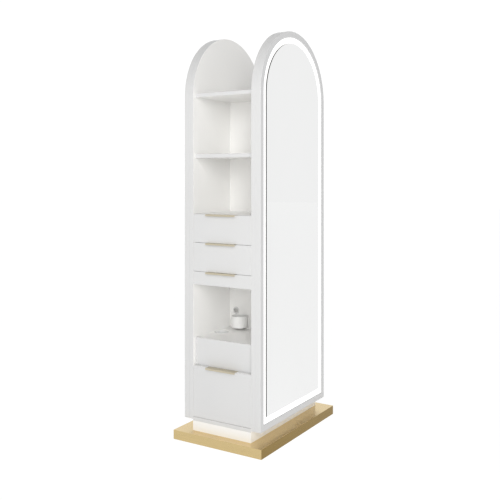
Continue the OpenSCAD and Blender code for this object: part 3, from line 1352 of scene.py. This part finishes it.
@dataclass
class ToolNiche:
    """The fittings of the two open niches: tool wells, dryer holders and cable grommets."""

    body: str = "cabinet"
    wall: float = 2.0 * MM
    well_r: float = 33.0 * MM
    flange: float = 4.0 * MM
    lip: float = 1.5 * MM
    holder_r: float = 40.0 * MM
    holder_wall: float = 2.5 * MM
    bracket_t: float = 3.0 * MM
    bracket_w: float = 50.0 * MM
    web_w: float = 16.0 * MM
    screw_size: float = 0.9
    screw_inset: float = 10.0 * MM
    well_foot: tuple[Point, ...] = ((5.0 * MM, 0.0), (1.5 * MM, 0.6 * MM), (0.0, 4.0 * MM))
    well_floor: tuple[Point, ...] = ((0.0, 6.0 * MM), (1.5 * MM, 3.0 * MM))
    floor_inset: float = 6.0 * MM
    holder_foot: tuple[Point, ...] = ((4.0 * MM, 0.0), (1.2 * MM, 0.6 * MM), (0.0, 3.0 * MM))
    holder_fillet: float = 3.0 * MM
    rim_drop: float = 2.0 * MM
    rim_shoulder: float = 0.8 * MM
    bracket_drop: float = 1.0 * MM
    holder_edge: float = 0.8 * MM
    holder_limit: float = 60.0
    grommet_flange: float = 4.0 * MM
    grommet_flange_t: float = 2.0 * MM
    grommet_wall: float = 3.0 * MM

    def build(self) -> None:
        """Makes and dresses the fittings."""
        self.wells()
        self.holders()
        self.grommets()

    def wells(self) -> None:
        """Enamelled wells with a rolled flange that sits on the deck."""
        low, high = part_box("tool_wells")
        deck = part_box("tool_decks")[1].z
        reach = Vector((low.x + self.well_r + self.flange, high.y - self.well_r - self.flange))
        r = self.well_r
        lip = high.z - deck
        rim = r + self.flange
        profile = [
            *((r - inset, low.z + rise) for inset, rise in self.well_foot),
            (r, deck),
            (rim - 0.5 * MM, deck),
            (rim, deck + 0.4 * lip),
            (rim - 0.6 * MM, high.z),
            (r - self.wall + 1.2 * MM, high.z),
            (r - self.wall + 0.2 * MM, high.z - 0.4 * lip),
            (r - self.wall, high.z - 1.4 * lip),
            *((r - self.wall - inset, low.z + rise) for inset, rise in self.well_floor),
            (r - self.wall - self.floor_inset, low.z + self.wall),
        ]
        centre = Vector((reach.x, reach.y, 0.0))
        cups = [stack_rings(profile, turned(centre, end), steps=64) for end in (0, 1)]
        piece = join_all("tool_wells_piece", cups)
        weight_normals(piece)
        dress(settle(piece), [Finish.ENAMEL], self.body, ["tool_wells"])

    def holders(self) -> None:
        """Moulded cups on brackets that are screwed to the divider."""
        low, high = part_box("dryer_holders")
        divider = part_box("divider")[0].x
        y = high.y - self.holder_r
        x = divider - self.bracket_t - self.holder_r
        r = self.holder_r
        inner = r - self.holder_wall
        half = self.holder_wall / 2
        profile = [
            *((r - inset, low.z + rise) for inset, rise in self.holder_foot),
            (r, high.z - self.rim_drop),
            (r - 0.3 * half, high.z - self.rim_shoulder),
            (r - half, high.z),
            (inner + 0.3 * half, high.z - self.rim_shoulder),
            (inner, high.z - self.rim_drop),
            (inner, low.z + self.holder_wall + self.holder_fillet),
            (inner - self.holder_fillet, low.z + self.holder_wall),
        ]
        parts = []
        for end in (0, 1):
            parts.append(stack_rings(profile, turned(Vector((x, y, 0.0)), end), steps=64))
            for near, wide in ((divider - self.bracket_t, self.bracket_w), (x + inner, self.web_w)):
                corner_a = turned(Vector((near, y - wide / 2, low.z)), end)
                corner_b = turned(Vector((divider, y + wide / 2, high.z - self.bracket_drop)), end)
                parts.append(brick(corner_a, corner_b))
        piece = ease(join_all("dryer_holders_piece", parts), self.holder_edge, 3, self.holder_limit)
        dress(piece, [Finish.WHITE_PLASTIC], self.body, ["dryer_holders"])
        for end in (0, 1):
            places = [
                turned(Vector((divider - self.bracket_t, y + s * 0.4 * self.bracket_w, z)), end)
                for s in (-1, 1)
                for z in (low.z + self.screw_inset, high.z - self.screw_inset)
            ]
            turn = (0.0, math.pi / 2 if end else -math.pi / 2, 0.0)
            PARTS.screws(f"holder_screws_{end}", self.body, places, turn, self.screw_size)

    def grommets(self) -> None:
        """Moulded grommets that line the cable holes in the divider."""
        low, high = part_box("cable_grommets")
        outer = (high.z - low.z) / 2
        z = (high.z + low.z) / 2
        y = high.y - outer
        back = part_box("divider")[1].x
        thick = self.grommet_flange_t
        body_r = outer - self.grommet_flange
        bore = body_r - self.grommet_wall
        profile = [
            (bore + 0.2 * self.grommet_wall, -back - thick),
            (outer - 0.6 * thick, -back - thick),
            (outer - 0.15 * thick, -back - 0.65 * thick),
            (outer, -back),
            (body_r, -back),
            (body_r, back),
            (bore, back),
            (bore, -back - 0.7 * thick),
        ]
        rings = []
        for end in (0, 1):
            flip = -1.0 if end else 1.0
            section = [(r, h * flip) for r, h in profile]
            centre = turned(Vector((0.0, y, z)), end)
            rings.append(stack_rings(section, centre, "X", 48, closed=True))
        piece = join_all("cable_grommets_piece", rings)
        weight_normals(piece)
        dress(settle(piece), [Finish.GREY_PLASTIC], self.body, ["cable_grommets"])


def brick(corner_a: Vector, corner_b: Vector) -> bmesh.types.BMesh:
    """A box between two opposite corners, for easing or joining later.

    Args:
        corner_a: one corner.
        corner_b: the opposite corner.

    Returns:
        The mesh under construction.
    """
    xs, ys, zs = (sorted((a, b)) for a, b in zip(corner_a, corner_b))
    loops = [
        [Vector((xs[i], ys[j], z)) for i, j in ((0, 0), (1, 0), (1, 1), (0, 1))]
        for z in zs
    ]
    return loft(loops, closed=False)


@dataclass
class Power:
    """The LED drivers in the plinth and the mains inlet at the rear end."""

    body: str = "cabinet"
    pin: Triple = (13.0 * MM, 4.0 * MM, 2.0 * MM)
    pin_spread: float = 7.0 * MM
    pin_rise: float = 2.0 * MM
    pin_root: float = 16.0 * MM
    pin_edge: float = 0.5 * MM
    driver_edge: float = 2.0 * MM
    inlet_edge: float = 0.6 * MM
    flange_screws: float = 20.5 * MM
    screw_size: float = 0.6

    def build(self) -> None:
        """Makes and dresses the pieces."""
        drivers = eased_copy("led_drivers", self.driver_edge)
        dress(drivers, [Finish.DARK_PLASTIC], self.body, ["led_drivers"])
        inlet = eased_copy("power_inlet", self.inlet_edge)
        dress(inlet, [Finish.DARK_PLASTIC], self.body, ["power_inlet"])
        low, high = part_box("power_inlet")
        z = (low.z + high.z) / 2
        pins = []
        for step in (-1, 0, 1):
            long, wide, tall = self.pin
            y = step * self.pin_spread
            dz = self.pin_rise if step == 0 else -self.pin_rise
            corner = Vector((high.x - self.pin_root, y - tall / 2, z + dz - wide / 2))
            pins.append(brick(corner, corner + Vector((long, tall, wide))))
        piece = ease(join_all("inlet_pins", pins), self.pin_edge, 2)
        dress(piece, [Finish.STEEL], self.body)
        places = [Vector((high.x, s * self.flange_screws, z)) for s in (-1, 1)]
        PARTS.screws("inlet_screws", self.body, places, (0.0, math.pi / 2, 0.0), self.screw_size)


@dataclass
class Drawer:
    """One drawer: front, box, edge pull and runners with their balls and screws."""

    end: int
    row: str
    face_edge: float = 1.2 * MM
    box_edge: float = 0.7 * MM
    pull_t: float = 1.2 * MM
    pull_flange: float = 13.0 * MM
    pull_lip: float = 8.5 * MM
    pull_edge: float = 0.35 * MM
    pull_limit: float = 60.0
    pull_screw_reach: float = 0.4
    pull_screw_drop: float = 0.55
    pull_screw_size: float = 0.6
    bend: float = 0.8 * MM
    ball_r: float = 1.35 * MM
    ball_inset: float = 2.0 * MM
    balls_a_row: int = 8
    ball_pitch: float = 5.5 * MM
    ball_gap: float = 0.05 * MM
    first_ball: float = 6.0 * MM
    member_depth: float = 8.5 * MM
    member_t: float = 1.2 * MM
    member_edge: float = 0.4 * MM
    screw_places: tuple[float, ...] = (30 * MM, 120 * MM, 210 * MM)

    @property
    def name(self) -> str:
        """The drawer's name, as its nodes start."""
        return f"{('front', 'rear')[self.end]}_{self.row}"

    @property
    def body(self) -> str:
        """The body that the drawer rides on."""
        return f"{self.name}_drawer"

    def build(self) -> None:
        """Makes and dresses the drawer's pieces."""
        name = self.name
        face = eased_copy(f"{name}_face", self.face_edge, 4)
        # The face's outward end takes the plain lacquer, and its edges and back take the brighter copy, as
        # painted light that lifts the shaded gaps between fronts.
        dress(face, [Finish.INSIDE_PAINTED_LIGHT, Finish.BOARD], self.body, [f"{name}_face"])
        paint_where(face, 1, faces_out)
        box = eased_copy(f"{name}_box", self.box_edge, 2)
        dress(box, [Finish.DRAWER], self.body, [f"{name}_box"])
        slides = eased_copy(f"{name}_slides", self.member_edge, 2)
        dress(slides, [Finish.STEEL], self.body, [f"{name}_slides"])
        self.pull()
        self.bearings()

    def pull(self) -> None:
        """An edge pull bent from one strip, with rounded bends and eased ends."""
        node = f"{self.name}_pull"
        low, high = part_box(node)
        outward = -1.0 if self.end == 0 else 1.0
        nose = low.x if self.end == 0 else high.x
        back = high.x if self.end == 0 else low.x
        t = self.pull_t
        top = high.z
        corners = [
            (back, top - t - self.pull_flange),
            (back, top),
            (nose, top),
            (nose, top - self.pull_lip),
            (nose - outward * t, top - self.pull_lip),
            (nose - outward * t, top - t),
            (back + outward * t, top - t),
            (back + outward * t, top - t - self.pull_flange),
        ]
        outer = self.bend + t
        section = rounded(corners, [0.3 * t, outer, outer, 0.45 * t, 0.45 * t, self.bend, self.bend, 0.3 * t])
        ends = [
            [Vector((x, y, z)) for x, z in section]
            for y in (low.y, high.y)
        ]
        strip = new_object(f"{node}_piece", loft(ends, closed=False))
        piece = ease(strip, self.pull_edge, 2, self.pull_limit)
        dress(piece, [Finish.GOLD_PULL], self.body, [node])
        y_mid = (low.y + high.y) / 2
        span = (high.y - low.y) * self.pull_screw_reach
        z = top - t - self.pull_screw_drop * self.pull_flange
        places = [Vector((back, y_mid + s * span, z)) for s in (-1, 0, 1)]
        turn = (0.0, -math.pi / 2 if self.end else math.pi / 2, 0.0)
        PARTS.screws(f"{node}_screws", self.body, places, turn, self.pull_screw_size)

    def bearings(self) -> None:
        """Balls between the two runner members, and the screws that hold each member."""
        low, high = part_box(f"{self.name}_slides")
        z = (low.z + high.z) / 2
        half = (high.z - low.z) / 2
        toward = 1.0 if self.end == 0 else -1.0
        mouth = low.x if self.end == 0 else high.x
        ball_y = high.y - self.ball_inset
        ball_z = half + self.ball_gap + self.ball_r
        start = mouth + toward * self.first_ball
        balls = [
            Vector((start + toward * k * self.ball_pitch, sy * ball_y, z + sz * ball_z))
            for k in range(self.balls_a_row)
            for sy in (-1, 1)
            for sz in (-1, 1)
        ]
        bearings = PARTS.scatter.spread(f"{self.name}_balls", PARTS.ball(self.ball_r), balls, Finish.STEEL)
        dress(bearings, [Finish.STEEL], "cabinet")
        web = high.y - self.member_depth + self.member_t
        for sy in (-1, 1):
            spots = [Vector((mouth + toward * d, sy * web, z)) for d in self.screw_places]
            title = f"{self.name}_slide_screws_{'near' if sy < 0 else 'far'}"
            PARTS.screws(title, self.body, spots, (-sy * math.pi / 2, 0.0, 0.0))


@dataclass
class CabinetRunners:
    """The runner members on the side boards."""

    body: str = "cabinet"
    edge: float = 0.4 * MM

    def build(self) -> None:
        """Makes and dresses the members."""
        piece = eased_copy("cabinet_runners", self.edge, 2)
        dress(piece, [Finish.STEEL], self.body, ["cabinet_runners"])


# ---------------------------------------------------------------- studio


@dataclass(frozen=True)
class Lamp:
    """A square soft light.

    Attributes:
        place: where it hangs.
        target: the point that it faces.
        size: the length of its side, in metres.
        power: its power in watts.
        mirrored: whether the camera, the mirrors and polished metal show it.
    """

    place: Triple
    target: Triple
    size: float
    power: float
    mirrored: bool = True


LAMPS: dict[str, Lamp] = {
    "fill": Lamp((-5.0, -3.2, 1.9), (0.0, 0.0, 0.9), 3.0, 156.0),
    "high": Lamp((-3.6, -2.3, 3.4), (0.0, 0.0, 0.9), 2.0, 52.0),
    "low": Lamp((-0.3, -1.7, 0.12), (0.0, -0.2, 0.08), 0.4, 2.2, False),
}


@dataclass
class Studio:
    """A plain white room: floor, even sky, soft lights and the camera.

    Attributes:
        camera_at: where the camera stands.
        heading: the way it looks, in radians from +X towards +Y.
        lens: its focal length, in millimetres.
        shift_y: how far the picture is shifted up, as a share of its width.
        sensor: the sensor's width, in millimetres.
        floor_half: half the length of the floor's side.
        floor_tones: the two tones of the floor's clouds.
        floor_glow: how strongly the floor lights itself.
        sky_light: the sky's strength as a lamp.
        sky_seen: its strength where the camera sees it.
        sky_mirrored: its strength in reflections.
    """

    camera_at: Vector = field(default_factory=lambda: Vector((-3.153, -1.922, 1.274)))
    heading: float = math.radians(31.95)
    lens: float = 51.73
    shift_y: float = -0.144
    sensor: float = 36.0
    floor_half: float = 30.0
    floor_tones: tuple[Colour, Colour] = ((0.12, 0.12, 0.12), (0.13, 0.13, 0.13))
    floor_glow: float = 0.94
    sky_light: float = 0.3
    sky_seen: float = 1.05
    sky_mirrored: float = 1.0

    def build(self) -> None:
        """Makes the studio."""
        self.floor()
        self.world()
        for name, lamp in LAMPS.items():
            self.hang(name, lamp)
        self.camera()
        bpy.context.scene.view_settings.view_transform = "Standard"

    def floor(self) -> None:
        """A wide floor that mostly lights itself, so that it fades into the sky."""
        h = self.floor_half
        build = bmesh.new()
        build.faces.new([build.verts.new((x, y, 0.0)) for x, y in ((-h, -h), (h, -h), (h, h), (-h, h))])
        item = new_object("floor", build)
        shade = Shade("studio_floor")
        clouds = shade.noise((0.5, 0.5, 0.5), 2.0)
        shade.set(
            Base_Color=shade.blend(clouds, *self.floor_tones),
            Roughness=0.9,
            Specular_IOR_Level=0.1,
            Emission_Color=(1.0, 1.0, 1.0),
            Emission_Strength=self.floor_glow,
        )
        item.data.materials.append(shade.material)

    def world(self) -> None:
        """An even white sky: dim as a lamp, brighter in the mirrors and where it is seen directly."""
        world = bpy.data.worlds.new("studio")
        world.use_nodes = True
        bpy.context.scene.world = world
        graph = Graph(world.node_tree)
        world.node_tree.nodes.clear()
        ray = graph.add("ShaderNodeLightPath")
        lighting = Wire(graph, ray.outputs["Is Diffuse Ray"])
        seen = Wire(graph, ray.outputs["Is Camera Ray"])
        strength = (
            lighting * (self.sky_light - self.sky_mirrored)
            + seen * (self.sky_seen - self.sky_mirrored)
            + self.sky_mirrored
        )
        sky = graph.add("ShaderNodeBackground", None, {"Color": (1.0, 1.0, 1.0, 1.0), "Strength": strength})
        graph.add("ShaderNodeOutputWorld", None, {"Surface": sky.outputs[0]})

    def hang(self, name: str, lamp: Lamp) -> None:
        """Puts a lamp into the scene.

        Args:
            name: its name.
            lamp: its place, size and power.
        """
        data = bpy.data.lights.new(name, "AREA")
        data.size = lamp.size
        data.energy = lamp.power
        item = bpy.data.objects.new(name, data)
        item.location = lamp.place
        item.visible_camera = lamp.mirrored
        item.visible_glossy = lamp.mirrored
        aim = Vector(lamp.target) - Vector(lamp.place)
        item.rotation_euler = aim.to_track_quat("-Z", "Y").to_euler()
        bpy.context.scene.collection.objects.link(item)

    def camera(self) -> None:
        """A level camera in front of the left corner, shifted down to frame the station."""
        data = bpy.data.cameras.new("view")
        data.lens = self.lens
        data.sensor_width = self.sensor
        data.shift_y = self.shift_y
        item = bpy.data.objects.new("view", data)
        item.location = self.camera_at
        ahead = Vector((math.cos(self.heading), math.sin(self.heading), 0.0))
        item.rotation_euler = ahead.to_track_quat("-Z", "Y").to_euler()
        bpy.context.scene.collection.objects.link(item)
        bpy.context.scene.camera = item


def main() -> None:
    """Builds the station's pieces and the studio, in order."""
    Platform().build()
    Boards().build()
    panels = [MirrorPanel(side) for side in ("near", "far")]
    for panel in panels:
        panel.build()
    MirrorInsides(panels).build()
    ToolNiche().build()
    Power().build()
    CabinetRunners().build()
    for end in (0, 1):
        for row in ("upper", "middle", "shallow", "deep"):
            Drawer(end, row).build()
    Studio().build()


if __name__ == "__main__":
    main()
